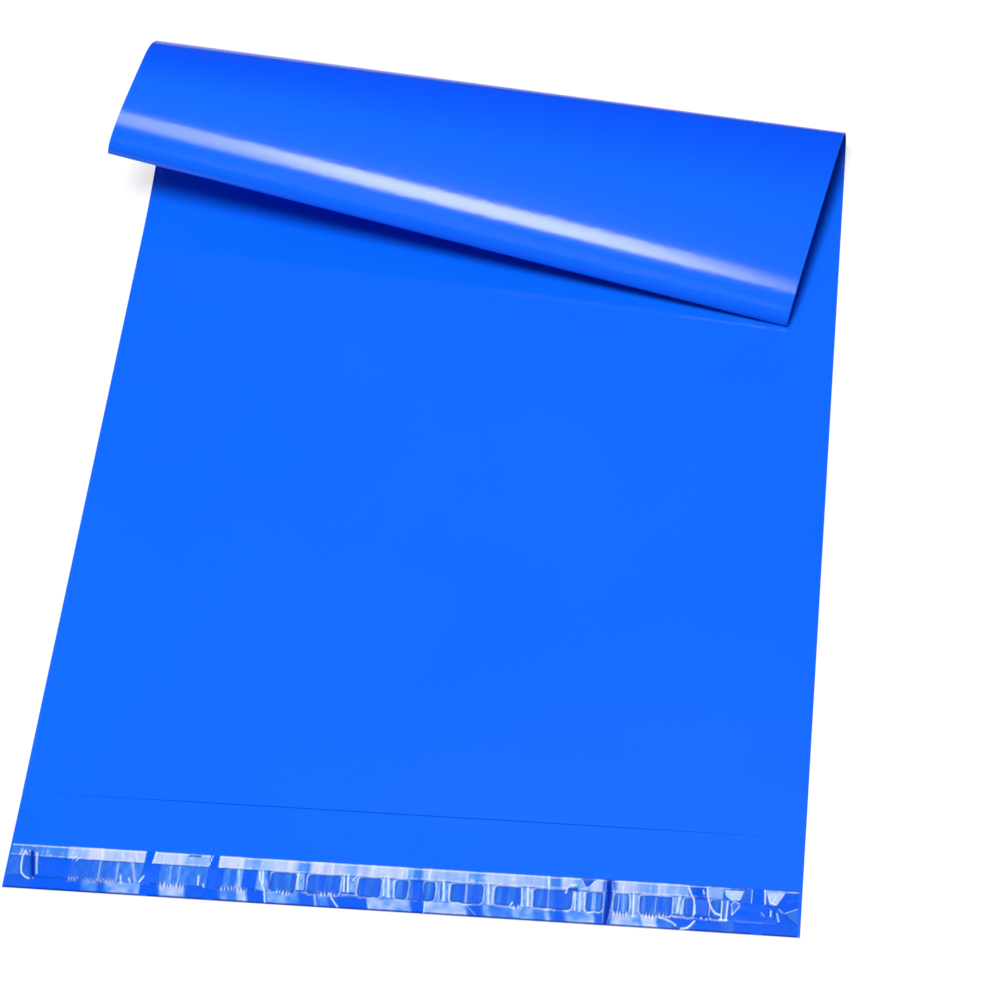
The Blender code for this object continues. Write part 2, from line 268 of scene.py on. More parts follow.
def gloss(name, description, default):
    """A roughness that a user can set."""
    return FloatProperty(name=name, description=description, default=default, subtype="FACTOR", min=0.0,
                         max=1.0)


class BagSizes(bpy.types.PropertyGroup):
    width: length("Width", "Flat width of the bag", 0.330)
    pocket: length("Pocket", "Mouth to closed end, measured flat", 0.490)
    flap: length("Flap", "Flap end to mouth", 0.045)
    film: length("Film", "Thickness of one layer", 0.00006)
    pouch_gap: length("Pouch gap", "Air between the panels, before it narrows to the welds", 0.0003)
    panel_wave: length("Panel wave", "Height of the waves in the front panel", 0.00025)
    flap_lift: length("Flap lift", "How far the flap's end rises", 0.0006)
    curl_step: length("Curl step", "Film between rows of the curl", 0.0011)
    curl_ease: length("Curl ease", "Film over which one bend blends into the next", 0.0026)
    columns: IntProperty(name="Columns", description="Places across the bag between its welds", default=44)


class LinerSizes(bpy.types.PropertyGroup):
    step: length("Step", "Grid step of the liner", 0.00042)
    film: length("Film", "Thickness of the liner", 0.00005)
    air_rise: length("Air rise", "Lift where air is trapped", 0.0001)
    glint_rise: length("Crease rise", "Height of a crease", 0.00012)
    glue_film: length("Glue", "Thickness of the glue band", 0.00015)
    seat: length("Seat", "How far the liner and the glue settle", 0.00024)


class Finishes(bpy.types.PropertyGroup):
    film_blue: colour("Film", "Blue of the film", 0.0035, 0.143, 1.0)
    film_deep: colour("Film deep", "Deeper blue in the film's uneven places", 0.002, 0.135, 0.98)
    # Painted shade: the deeper blue of the curl's crest, which stands off the table and gets less light
    film_crest_shade: colour("Film crest", "Deeper blue where the film bends round over itself", 0.0, 0.088, 0.97)
    glue_blue: colour("Glue", "Blue seen through the clear glue", 0.0, 0.148, 1.0)
    glue_light: colour("Glue light", "Lighter blue in the glue's uneven places", 0.0, 0.155, 1.0)
    liner_clear: colour("Liner clear", "Blue where the liner lies flat", 0.0, 0.140, 0.97)
    liner_thin: colour("Liner thin air", "Blue over a thin layer of air", 0.07, 0.28, 0.97)
    liner_haze: colour("Liner haze", "Lavender over thick air", 0.48, 0.66, 0.93)
    liner_warm: colour("Liner warm haze", "Warmer lavender in some of the haze", 0.66, 0.62, 0.93)
    # Painted highlight: the white of the liner's glints along its creases and edges
    liner_glint_white: colour("Liner crease", "White of the creases", 0.75, 0.91, 1.0)
    # Painted shade: the dark blue of the shaded lines along the liner's creases, folds and edges
    liner_shade_blue: colour("Liner fold", "Dark blue of the folds", 0.0, 0.022, 0.38)
    film_roughness: gloss("Film roughness", "Gloss of the film", 0.118)
    liner_roughness: gloss("Liner roughness", "Gloss of the liner", 0.12)


class Studio(bpy.types.PropertyGroup):
    elevation: angle("Elevation", "How far the camera looks down", 55.968)
    azimuth: angle("Azimuth", "Camera turn round the bag", -12.463)
    roll: angle("Roll", "Camera roll", -7.675)
    distance: length("Distance", "Camera to its aim", 1.37552)
    aim_x: length("Aim X", "Where the camera looks, across the bag", 0.02162)
    aim_y: length("Aim Y", "Where the camera looks, along the bag", 0.00413)
    lens: FloatProperty(name="Lens", description="Focal length", default=111.6, unit="CAMERA")
    sky: FloatProperty(name="Sky", description="Strength of the light from all round", default=0.14)
    key_power: power("Key", "Power of the soft light overhead", 70.0)
    strip_power: power("Strip", "Power of the long strip", 200.0)
    core_power: power("Strip core", "Power of the strip's brighter middle", 138.0)


def ease(low, high, value):
    """0 at low, 1 at high, and smooth between them. High may be below low."""
    share = np.clip((value - low) / (high - low), 0.0, 1.0)
    return share * share * (3.0 - 2.0 * share)


def between(low, high, soft, value):
    """1 between two values and 0 outside them, fading over a soft edge."""
    return ease(low - soft, low + soft, value) * (1.0 - ease(high - soft, high + soft, value))


def ridge(value, place, width):
    """1 at a place, fading smoothly on both sides of it over a width."""
    return np.exp(-(((value - place) / width) ** 2))


def waves(x, y, longest, seed):
    """A smooth uneven field between about -1 and 1, made of a few crossed ripples."""
    field = np.zeros(np.broadcast(x, y).shape)
    for step in range(7):
        heading = seed * 1.7 + step * 2.399
        ripple = longest * 0.82 ** step
        phase = seed * 3.1 + step * 1.9
        forward = x * math.cos(heading) + y * math.sin(heading)
        field = field + 0.86 ** step * np.sin(forward * 2 * math.pi / ripple + phase)
    return field / 3.2


def uneven(x, y, longest, seed):
    """The same field as a share, from about 0 to 1."""
    return 0.5 + 0.5 * waves(x, y, longest, seed)


def turned_about(axis, turn):
    """3 x 3 rotation about an axis through the origin."""
    return np.array(Matrix.Rotation(turn, 3, Vector(axis)))


class CurledSheet:
    """Straight lines across the flat sheet, from the flap's end to the closed end, and where each ends up.

    A line is given by its distances from the flap's end on the left and right edges. The sheet only turns
    about these lines, so it keeps its lengths.
    """

    def __init__(self, bag):
        self.width = bag.width
        self.total = bag.flap + bag.pocket
        left, right, turns = self.fold_lines(bag)
        flap = np.linspace(0.0, bag.flap, FLAP_ROWS)[:-1]
        share = np.linspace(0.0, 1.0, FACE_ROWS)[:-1]
        face_left = bag.flap + (left[0] - bag.flap) * share
        face_right = bag.flap + (right[0] - bag.flap) * share
        self.left = np.concatenate((flap, face_left, left))
        self.right = np.concatenate((flap, face_right, right))
        self.mouth = len(flap)
        self.curl_start = len(flap) + len(face_left)
        self.place(np.concatenate((np.zeros(self.curl_start), turns)))

    def fold_lines(self, bag):
        """Both ends and the turn of each line in the curl, each bend blended into the next."""
        left, right, turns = [], [], []
        self.stretch_steps = []
        at_left = self.total - sum(stretch[0] for stretch in CURL_STRETCHES)
        at_right = self.total - sum(stretch[1] for stretch in CURL_STRETCHES)
        for left_length, right_length, turn in CURL_STRETCHES:
            steps = max(2, round((left_length + right_length) / 2 / bag.curl_step))
            self.stretch_steps.append(steps)
            share = (np.arange(steps) + 0.5) / steps
            left.append(at_left + left_length * share)
            right.append(at_right + right_length * share)
            turns.append(np.full(steps, turn / steps))
            at_left += left_length
            at_right += right_length
        turns = np.concatenate(turns)
        reach = bag.curl_ease / bag.curl_step
        offset = np.arange(len(turns))
        weights = ridge(offset[:, None], offset[None, :], reach)
        weights /= weights.sum(axis=0)[None, :]
        return np.concatenate(left), np.concatenate(right), weights @ turns

    def place(self, turns):
        """Spin, shift and upward direction of the sheet at each line, after all the turns before it."""
        spin = np.eye(3)
        shift = np.array((0.0, FLAP_END, 0.0))
        self.spins, self.shifts, self.lifts = [], [], []
        for left, right, turn in zip(self.left, self.right, turns):
            pivot = np.array((-self.width / 2, left, 0.0))
            step = turned_about((self.width, right - left, 0.0), turn)
            lift = spin[:, 2] + spin @ step[:, 2]
            lift = lift / np.linalg.norm(lift) / math.cos(turn / 2)
            self.spins.append(spin)
            self.shifts.append(shift)
            self.lifts.append(lift)
            shift = shift + spin @ (pivot - step @ pivot)
            spin = spin @ step
        self.spins, self.shifts = np.array(self.spins), np.array(self.shifts)
        self.lifts = np.array(self.lifts)
        self.end_spin, self.end_shift = spin, shift

    def along(self, across):
        """Distance from the flap's end at each line and place across, as rows by columns."""
        share = across / self.width + 0.5
        return self.left[:, None] + (self.right - self.left)[:, None] * share[None, :]

    def rows(self, across, height, first=0):
        """Points of the lines from the first one on, height above the sheet's outer side."""
        along = self.along(across)[first:]
        flat = np.stack((np.broadcast_to(across, along.shape), along, np.zeros_like(along)), axis=2)
        points = np.einsum("kij,kcj->kci", self.spins[first:], flat) + self.shifts[first:, None, :]
        return points + self.lifts[first:, None, :] * np.broadcast_to(height, along.shape)[:, :, None]

    def crest(self):
        """Painted shade on the crest: 1 on the tight turn's rows, fading to 0 over the part that comes back
        from it.
        """
        rise, turn, back = self.stretch_steps[:3]
        after = np.arange(len(self.left)) - self.curl_start - rise - turn
        return ease(-turn, -CREST_FULL * turn, after) * ease(CREST_GONE * back, -CREST_HELD * back, after)

    def end_round(self, across, middle, radius, back_off):
        """Points round the closed end's fold, from the outer side to the inner side."""
        sweep = np.linspace(0.0, math.pi, END_STEPS + 1)[:, None]
        along = self.total - back_off + radius[None, :] * np.sin(sweep)
        height = middle[None, :] - radius[None, :] * np.cos(sweep)
        flat = np.stack((np.broadcast_to(across, along.shape), along, height), axis=2)
        return np.einsum("ij,kcj->kci", self.end_spin, flat) + self.end_shift


def flap_rise(x, y, lift):
    """How far the flap's end has risen off the table at a place, so that its three pieces rise as one."""
    reach = ease(RISE_REACH, 0.0, y - FLAP_END)
    return lift * reach ** RISE_POWER * (1.0 + 0.25 * waves(x, y * 0.0, RISE_WAVE, 5))


def grid_quads(rows, columns, first=0):
    """Corner numbers of the quads between neighbouring rows and columns."""
    corner = first + np.arange(rows * columns).reshape(rows, columns)
    quads = np.stack((corner[:-1, :-1], corner[1:, :-1], corner[1:, 1:], corner[:-1, 1:]), axis=2)
    return quads.reshape(-1, 4)


def new_piece(name, points, quads, others=(), masks=None):
    """A closed mesh from points and faces, smooth but for its creases, with like corners joined.

    masks holds values for each point, by name, which a material reads.
    """
    mesh = bpy.data.meshes.new(name)
    faces = [tuple(int(corner) for corner in face) for face in [*quads, *others]]
    mesh.from_pydata([tuple(point) for point in points], [], faces)
    for mask, values in (masks or {}).items():
        layer = mesh.attributes.new(mask, "FLOAT", "POINT")
        layer.data.foreach_set("value", values.astype(np.float32))
    builder = bmesh.new()
    builder.from_mesh(mesh)
    bmesh.ops.remove_doubles(builder, verts=builder.verts, dist=JOIN_DISTANCE)
    bmesh.ops.recalc_face_normals(builder, faces=builder.faces)
    builder.to_mesh(mesh)
    builder.free()
    mesh.shade_smooth()
    mesh.set_sharp_from_angle(angle=SHARP_ANGLE)
    piece = bpy.data.objects.new(name, mesh)
    bpy.context.scene.collection.objects.link(piece)
    return piece


def side_columns(bag):
    """Places across the bag with their pouch gap and bead, closest together at the welds."""
    edge = bag.width / 2
    inner = edge - WELD_WIDTH - WELD_SLOPE
    middle = np.linspace(-inner, inner, bag.columns)
    across = np.concatenate(((-edge, -edge + BEAD_WIDTH, -edge + WELD_WIDTH), middle,
                             (edge - WELD_WIDTH, edge - BEAD_WIDTH, edge)))
    gap = bag.pouch_gap * (GAP_AT_WELD + GAP_GROWTH * ease(0.0, GAP_REACH, edge - np.abs(across)))
    gap[:3] = gap[-3:] = 0.0
    bead = np.zeros(len(across))
    bead[0] = bead[-1] = BEAD_EXTRA
    return across, gap, bead


def panel_waves(sheet, bag, across, gap):
    """How far the front panel's low waves lift it, at each line and place across."""
    along = sheet.along(across)
    inside = ease(0.0, WAVE_FROM_SIDE, bag.width / 2 - np.abs(across))[None, :] * (gap > 0)[None, :]
    on_face = ease(0.0, WAVE_FROM_MOUTH, along - bag.flap)
    on_face = on_face * ease(0.0, WAVE_FROM_CURL, sheet.left[sheet.curl_start] - along)
    return bag.panel_wave * uneven(across[None, :], along, WAVE_LENGTH, 2) * on_face * inside


def film_sides(body, top_rows, outer_rows, end_rows, front_rows):
    """Faces that close the film's two side edges, from the corner numbers of its rows."""
    sides = []
    for column in (0, -1):
        for row in range(body):
            sides.append((outer_rows[row, column], outer_rows[row + 1, column],
                          top_rows[row + 1, column], top_rows[row, column]))
        sides.append((outer_rows[body, column], outer_rows[body + 1, column], front_rows[1, column],
                      front_rows[0, column], top_rows[body, column]))
        for row in range(body + 1, len(outer_rows) - 1):
            sides.append((outer_rows[row, column], outer_rows[row + 1, column],
                          front_rows[row + 1 - body, column], front_rows[row - body, column]))
        sides.append([outer_rows[-1, column]] + list(end_rows[:, column]) + [front_rows[-1, column]])
    return sides


def film_mesh(bag):
    """The folded film: back panel with flap, closed end, front panel, and the open pouch between them."""
    sheet = CurledSheet(bag)
    across, gap, bead = side_columns(bag)
    columns = len(across)
    body = sheet.mouth
    panel = panel_waves(sheet, bag, across, gap)
    outer = sheet.rows(across, 0.0)
    front = sheet.rows(across, (2 * bag.film + gap[None, :] + bead[None, :] + panel)[body:], body)
    ceiling = sheet.rows(across, (bag.film + gap[None, :] + panel)[body:], body)
    floor = sheet.rows(across, bag.film, body)
    flap_top = sheet.rows(across, bag.film)[:body + 1]
    back_off = bag.film + bag.pouch_gap / 2
    thickness = 2 * bag.film + gap + bead
    outer_end = sheet.end_round(across, thickness / 2, thickness / 2, back_off)
    pocket_end = sheet.end_round(across, bag.film + gap / 2, gap / 2, back_off)

    groups = (flap_top[::-1], outer, outer_end, front[::-1], ceiling[:1])
    outside = np.concatenate(groups)
    pocket = np.concatenate((ceiling, pocket_end[::-1], floor[::-1]))
    points = np.concatenate((outside.reshape(-1, 3), pocket.reshape(-1, 3)))
    points[:, 2] += flap_rise(points[:, 0], points[:, 1], bag.flap_lift)

    outside_quads = grid_quads(len(outside), columns)
    pocket_quads = grid_quads(len(pocket), columns, len(outside) * columns)
    open_columns = (gap[:-1] > 0) | (gap[1:] > 0)
    pocket_quads = pocket_quads.reshape(len(pocket) - 1, columns - 1, 4)[:, open_columns].reshape(-1, 4)
    number = np.arange(len(outside) * columns).reshape(len(outside), columns)
    starts = np.cumsum([len(group) for group in groups])[:-1]
    top_rows, outer_rows, end_rows, front_rows, _ = np.split(number, starts)
    sides = film_sides(body, top_rows[::-1], outer_rows, end_rows, front_rows[::-1])

    # Mask of the painted shade on the curl's crest
    crest = sheet.crest()
    body_crest_shade = crest[body:]
    no_crest_shade = np.zeros(END_STEPS + 1)
    row_crest_shade = np.concatenate((np.zeros(body + 1), crest, no_crest_shade, body_crest_shade[::-1], (0.0,),
                                body_crest_shade, no_crest_shade, body_crest_shade[::-1]))
    masks = {"crest": np.repeat(row_crest_shade, columns)}
    return new_piece("mailer_film", points, np.concatenate((outside_quads, pocket_quads)), sides, masks)


def pad_distance(x, y, left, right, low, high, corner):
    """Signed distance to a rounded rectangle, negative inside, in the units of x and y."""
    reach_x = np.abs(x - (left + right) / 2) - (right - left) / 2 + corner
    reach_y = np.abs(y - (low + high) / 2) - (high - low) / 2 + corner
    outside = np.hypot(np.maximum(reach_x, 0.0), np.maximum(reach_y, 0.0))
    return outside + np.minimum(np.maximum(reach_x, reach_y), 0.0) - corner


def stroke_mask(x, y, width, places):
    """1 on a line through its points, fading out over its width. places holds their x and y in turn."""
    points = list(zip(places[::2], places[1::2]))
    nearest = np.full(x.shape, np.inf)
    for (ax, ay), (bx, by) in zip(points, points[1:]):
        squared = (bx - ax) ** 2 + (by - ay) ** 2
        share = np.clip(((x - ax) * (bx - ax) + (y - ay) * (by - ay)) / squared, 0.0, 1.0)
        nearest = np.minimum(nearest, np.hypot(x - ax - share * (bx - ax), y - ay - share * (by - ay)))
    return ridge(nearest, 0.0, width * 0.62)


def steps_along(x, starts, soft):
    """A value that holds from each start to the next one, with soft changes between them."""
    value = np.full(x.shape, starts[0][1])
    for (_, before), (start, after) in zip(starts, starts[1:]):
        value = value + (after - before) * ease(start - soft, start + soft, x)
    return value


def patch_mask(x, y, corners, soft):
    """1 inside a patch whose corners turn to the left, and 0 outside it."""
    inside = np.full(x.shape, np.inf)
    for (ax, ay), (bx, by) in zip(corners, corners[1:] + corners[:1]):
        side = (bx - ax) * (y - ay) - (by - ay) * (x - ax)
        inside = np.minimum(inside, side / math.hypot(bx - ax, by - ay))
    return ease(-soft, soft, inside)


class LinerMarks:
    """Trapped air, painted highlights and painted shade of the liner, from 0 to 1, at places in millimetres.
    """

    def __init__(self, x, y):
        self.x, self.y = x, y
        self.drift = uneven(x, y * 0.5, 31.0, 1)
        self.streaks = uneven(x, y * 0.12, 5.0, 4)
        self.cloud = uneven(x, y, 9.0, 7)
        self.fine = uneven(x, y * 0.3, 1.9, 3)
        self.top = (LINER_HIGH[1] - FLAP_END) / MM
        self.glue_high = (GLUE_HIGH[1] - FLAP_END) / MM
        self.glue_low = (GLUE_LOW[1] - FLAP_END) / MM + GLUE_EDGE_IN_MM
        self.low_edge = self.glue_low + 0.35 * waves(x, x * 0.0, 9.0, 2)
        self.upper = ease(self.glue_high - 0.15, self.glue_high + 0.15, y)
        self.lower = 1.0 - ease(self.low_edge - 0.25, self.low_edge + 0.15, y)
        self.on_glue = (1.0 - self.upper) * (1.0 - self.lower)
        self.air = self.air_bands()
        self.glint, self.painted_shade = self.edge_lines()

    def air_bands(self):
        """Air above the glue, on it and below it."""
        leaning = self.x + 0.2 * (self.y - 2.5)
        upper = steps_along(self.x, UPPER_AIR_MM, 1.1) * (0.80 + 0.22 * self.streaks + 0.10 * self.cloud)
        middle = steps_along(self.x, GLUE_AIR_MM, 0.4) * (0.50 + 0.35 * self.streaks + 0.40 * self.fine)
        lower = steps_along(leaning, LOWER_AIR_MM, 1.1) * (0.76 + 0.50 * self.cloud)
        return self.upper * upper + self.on_glue * middle + self.lower * lower

    def edge_lines(self):
        """Painted highlights and painted shade along the liner's edges and the glue's."""
        y, streaks, cloud, fine = self.y, self.streaks, self.cloud, self.fine
        lines = 1.0 - ease(*LINES_END_MM, self.x)
        glints = (
            0.45 * self.upper * ease(0.55, 0.95, cloud * streaks + 0.3 * fine),
            0.80 * between(self.top - 0.95, self.top - 0.45, 0.14, y) * (0.55 + 0.45 * streaks),
            0.80 * ridge(y, self.glue_high + 0.35, 0.25) * lines * ease(0.1, 0.7, streaks),
        )
        shade_lines = (
            0.85 * ease(self.top - 0.42, self.top - 0.22, y),
            0.95 * ridge(y, self.glue_high - 0.20, 0.28) * lines * (0.5 + 0.5 * cloud),
            0.75 * ridge(y, self.low_edge, 0.26) * lines * (0.3 + 0.7 * fine),
            0.85 * ease(0.95, 0.55, y),
        )
        return np.maximum.reduce(glints), np.maximum.reduce(shade_lines)

    def clear(self, mask, air=1.0, glint=1.0, painted_shade=1.0):
        """Takes the marks away under a mask, each by its own share."""
        self.air = self.air * (1.0 - air * mask)
        self.glint = self.glint * (1.0 - glint * mask)
        self.painted_shade = self.painted_shade * (1.0 - painted_shade * mask)

    def brighten(self, amount):
        """Adds painted highlights where there are weaker ones or none."""
        self.glint = np.maximum(self.glint, amount)

    def darken(self, amount):
        """Adds painted shade in the same way."""
        self.painted_shade = np.maximum(self.painted_shade, amount)

    def press_window(self, left, right, air):
        """Presses the liner flat on the glue, with painted shade and painted highlights as an outline round
        it.
        """
        away = pad_distance(self.x, self.y, left, right, self.low_edge + 0.1, self.glue_high - 0.35,
                            WINDOW_CORNER_MM)
        within = 1.0 - ease(-0.25, 0.15, away)
        self.clear(within)
        self.air = self.air + within * air * (0.3 + 1.1 * self.streaks)
        self.darken(ridge(away, -0.25, 0.30) * (0.45 + 0.55 * self.cloud))
        self.brighten(0.75 * ridge(away, 0.42, 0.28) * (0.35 + 0.65 * self.drift))
        self.darken(0.40 * ridge(away, 0.98, 0.20) * self.on_glue)

    def press_stretch(self, left, right, amount):
        """Takes the air out of a leaning stretch, most of it on and below the glue."""
        stretch = between(left, right, 0.5, self.x + 0.12 * (self.y - 10.0)) * (1.0 - 0.85 * self.upper)
        self.clear(amount * stretch, painted_shade=0.0)

    def add_teeth(self, left, right, lean):
        """Small teeth along the glue's lower edge: painted highlights, with painted shade in the gaps between
        them.
        """
        within = between(left + 0.3, right - 0.3, 0.4, self.x)
        wander = 0.35 * waves(self.x, self.x * 0.0, 5.0, left)
        place = (self.x - lean * (self.glue_low - self.y) + wander) / TOOTH_PITCH_MM
        zone = ridge(self.y, self.low_edge - 0.1, 0.65 + 0.7 * self.cloud) * within
        teeth = ridge(place, np.round(place), 0.19) * zone
        self.brighten(0.95 * teeth)
        self.clear(teeth, air=0.0, glint=0.0)
        self.darken(ridge(place - 0.5, np.round(place - 0.5), 0.22) * zone)

    def wet_out(self, left, right):
        """Leaves nothing to see where the liner has wet out on the film."""
        self.clear(between(left, right, 0.25, self.x))

    def add_patch(self, share, *corners):
        """Gives a piece of the liner its own share of air."""
        within = patch_mask(self.x, self.y, corners, 0.22)
        self.clear(within, painted_shade=0.0)
        self.air = self.air + within * share * (0.85 + 0.2 * self.fine)

    def add_glint(self, width, strength, *places):
        """A painted highlight along a crease through the places."""
        mask = strength * stroke_mask(self.x, self.y, width, places)
        self.brighten(1.15 * mask)
        self.clear(np.minimum(mask, 1.0), air=0.0, glint=0.0)

    def shade_crease(self, width, strength, *places):
        """Painted shade along a crease through the places."""
        mask = np.minimum(strength * stroke_mask(self.x, self.y, width, places), 1.0)
        self.darken(mask)
        self.clear(mask, glint=0.9, painted_shade=0.0)


def liner_marks(x, y):
    """All the liner's marks at places in millimetres, by the names that its material reads."""
    marks = LinerMarks(x, y)
    for table, add in ((WINDOWS_MM, marks.press_window), (DEEP_MM, marks.press_stretch),
                       (TEETH_MM, marks.add_teeth), (WET_OUT_MM, marks.wet_out),
                       (PATCHES_MM, marks.add_patch), (GLINTS_MM, marks.add_glint),
                       (SHADED_CREASES_MM, marks.shade_crease)):
        for row in table:
            add(*row)
    return {name: np.clip(getattr(marks, name), 0.0, 1.0) for name in ("air", "glint", "painted_shade")}


def liner_height(y, liner):
    """Underside of the liner above the table: level over the glue, and down on the flap beyond it."""
    down = 1.0 - ease(GLUE_HIGH[1] + LINER_DOWN[0], GLUE_HIGH[1] + LINER_DOWN[1], y)
    return LINER_LOW[2] - liner.seat + (liner.glue_film + LINER_BELOW_GLUE) * down


def liner_mesh(liner, lift):
    """The clear liner, raised where air is trapped and creased where it has wrinkled."""
    across = np.arange(LINER_LOW[0], LINER_HIGH[0], liner.step)
    along = np.linspace(LINER_LOW[1], LINER_HIGH[1], round((LINER_HIGH[1] - LINER_LOW[1]) / liner.step))
    x, y = np.meshgrid(across, along)
    marks = liner_marks(x / MM, (y - FLAP_END) / MM)
    edge = np.minimum(ease(0.0, LINER_RIM, y - LINER_LOW[1]), ease(0.0, LINER_RIM, LINER_HIGH[1] - y))
    relief = liner.air_rise * marks["air"] + liner.glint_rise * marks["glint"]
    height = liner_height(y, liner) + flap_rise(x, y, lift) + relief * (0.2 + 0.8 * edge)
    under = np.stack((x, y, height), axis=2)
    over = under + np.array((0.0, 0.0, liner.film))
    points = np.concatenate((under.reshape(-1, 3), over.reshape(-1, 3)))
    rows, columns = x.shape
    count = rows * columns
    number = np.arange(count).reshape(rows, columns)
    rim = np.concatenate((number[0, :], number[1:, -1], number[-1, -2::-1], number[-2:0:-1, 0]))
    after = np.roll(rim, -1)
    rim_quads = np.stack((rim, after, after + count, rim + count), axis=1)
    quads = np.concatenate((grid_quads(rows, columns), grid_quads(rows, columns, count), rim_quads))
    return new_piece("clear_liner", points, quads,
                     masks={name: np.tile(values.ravel(), 2) for name, values in marks.items()})


def signed_power(value, exponent):
    """A power of a value's size that keeps its sign."""
    return np.sign(value) * np.abs(value) ** exponent


def glue_mesh(liner, lift):
    """The glue band: a low pad with round edges that wander a little, as poured."""
    across = np.arange(GLUE_LOW[0] + GLUE_STEP / 2, GLUE_HIGH[0], GLUE_STEP)
    sweep = np.linspace(0.0, 2.0 * math.pi, GLUE_SIDES + 1)[:-1]
    middle = (GLUE_LOW[1] + GLUE_HIGH[1]) / 2
    half = (GLUE_HIGH[1] - GLUE_LOW[1]) / 2
    low, high = GLUE_LOW[2] - liner.seat, GLUE_HIGH[2] - liner.seat
    from_end = np.minimum(across - across[0], across[-1] - across)
    ends = np.sqrt(np.clip(1.0 - (1.0 - from_end / GLUE_END).clip(0, 1) ** 2, 0.02, 1))
    wander = 1.0 - 0.02 * (1.0 + waves(across, across * 0.0, GLUE_WANDER, 6))
    x = np.broadcast_to(across[None, :], (len(sweep), len(across)))
    y = middle + half * signed_power(np.cos(sweep), 0.35)[:, None] * (wander * ends)[None, :]
    z = (low + high) / 2 + (high - low) / 2 * signed_power(np.sin(sweep), 0.6)[:, None]
    z = z + flap_rise(x, y, lift)
    number = np.arange(x.size).reshape(x.shape)
    after = np.roll(number, -1, axis=0)
    quads = np.stack((number[:, :-1], after[:, :-1], after[:, 1:], number[:, 1:]), axis=2).reshape(-1, 4)
    points = np.stack((x, y, z), axis=2).reshape(-1, 3)
    return new_piece("glue_band", points, quads, (number[:, 0], number[::-1, -1]))


def feed(tree, socket, value):
    """Links a socket to another one, or else sets its value."""
    if isinstance(value, bpy.types.NodeSocket):
        tree.links.new(value, socket)
    else:
        socket.default_value = value


def new_node(tree, kind, **inputs):
    """A new shader node with some inputs fed. An underscore in an input's name stands for a space."""
    node = tree.nodes.new("ShaderNode" + kind)
    for name, value in inputs.items():
        feed(tree, node.inputs[name.replace("_", " ")], value)
    return node


def film_grain_group():
    """Fine blown-film grain, with long handling waves under it, as a height and as an uneven mask."""
    group = bpy.data.node_groups.new("film_grain", "ShaderNodeTree")
    group.interface.new_socket("Map", in_out="INPUT", socket_type="NodeSocketVector")
    for name, value in (("Grain Scale", 900.0), ("Wave Scale", 9.0), ("Wave Share", 0.9)):
        socket = group.interface.new_socket(name, in_out="INPUT", socket_type="NodeSocketFloat")
        socket.default_value = value
    for name in ("Height", "Uneven"):
        group.interface.new_socket(name, in_out="OUTPUT", socket_type="NodeSocketFloat")
    given = group.nodes.new("NodeGroupInput").outputs
    place = given["Map"]
    grain = new_node(group, "TexNoise", Vector=place, Scale=given["Grain Scale"], Detail=2.0).outputs["Fac"]
    wave = new_node(group, "TexNoise", Vector=place, Scale=given["Wave Scale"], Detail=3.0, Distortion=0.6)
    wave = wave.outputs["Fac"]
    mixed = new_node(group, "Mix", Factor=given["Wave Share"], A=grain, B=wave)
    spread = new_node(group, "MapRange", Value=wave, From_Min=0.35, From_Max=0.70)
    result = group.nodes.new("NodeGroupOutput").inputs
    feed(group, result["Height"], mixed.outputs["Result"])
    feed(group, result["Uneven"], spread.outputs["Result"])
    return group


def new_material(name, roughness, specular):
    """A material, its nodes and its Principled shader's inputs, at plain values."""
    material = bpy.data.materials.new(name)
    material.use_nodes = True
    inputs = material.node_tree.nodes["Principled BSDF"].inputs
    inputs["Roughness"].default_value = roughness
    inputs["Specular IOR Level"].default_value = specular
    return material, material.node_tree, inputs


def add_grain(tree, inputs, grain_scale, wave_scale, strength, distance):
    """Places the film grain effect in a material and feeds its height to the shader's normal."""
    grain = tree.nodes.new("ShaderNodeGroup")
    grain.node_tree = bpy.data.node_groups.get("film_grain") or film_grain_group()
    feed(tree, grain.inputs["Map"], new_node(tree, "TexCoord").outputs["Object"])
    feed(tree, grain.inputs["Grain Scale"], grain_scale)
    feed(tree, grain.inputs["Wave Scale"], wave_scale)
    relief = new_node(tree, "Bump", Height=grain.outputs["Height"], Strength=strength, Distance=distance)
    feed(tree, inputs["Normal"], relief.outputs["Normal"])
    return grain


def uneven_roughness(tree, inputs, grain, low, high):
    """Roughness between two values, following the grain effect's uneven mask."""
    spread = new_node(tree, "MapRange", Value=grain.outputs["Uneven"], To_Min=low, To_Max=high)
    feed(tree, inputs["Roughness"], spread.outputs["Result"])


def point_values(tree, name):
    """The values that a mesh holds for each point under a name."""
    values = new_node(tree, "Attribute")
    values.attribute_name = name
    return values.outputs["Fac"]


def combined(tree, operation, value, *others):
    """One value from several value sockets, taken in turn."""
    for other in others:
        node = new_node(tree, "Math")
        node.operation = operation
        feed(tree, node.inputs[0], value)
        feed(tree, node.inputs[1], other)
        value = node.outputs["Value"]
    return value


def mix_colour(tree, factor, first, second):
    """Mixes two colours, each a colour or a socket, by a factor socket."""
    mix = new_node(tree, "Mix", Factor=factor)
    mix.data_type = "RGBA"
    feed(tree, mix.inputs["A"], first)
    feed(tree, mix.inputs["B"], second)
    return mix.outputs["Result"]


def mix_shader(tree, factor, first, second):
    """Picks one of two shaders by a factor socket."""
    mix = new_node(tree, "MixShader", Fac=factor)
    feed(tree, mix.inputs[1], first)
    feed(tree, mix.inputs[2], second)
    return mix.outputs["Shader"]


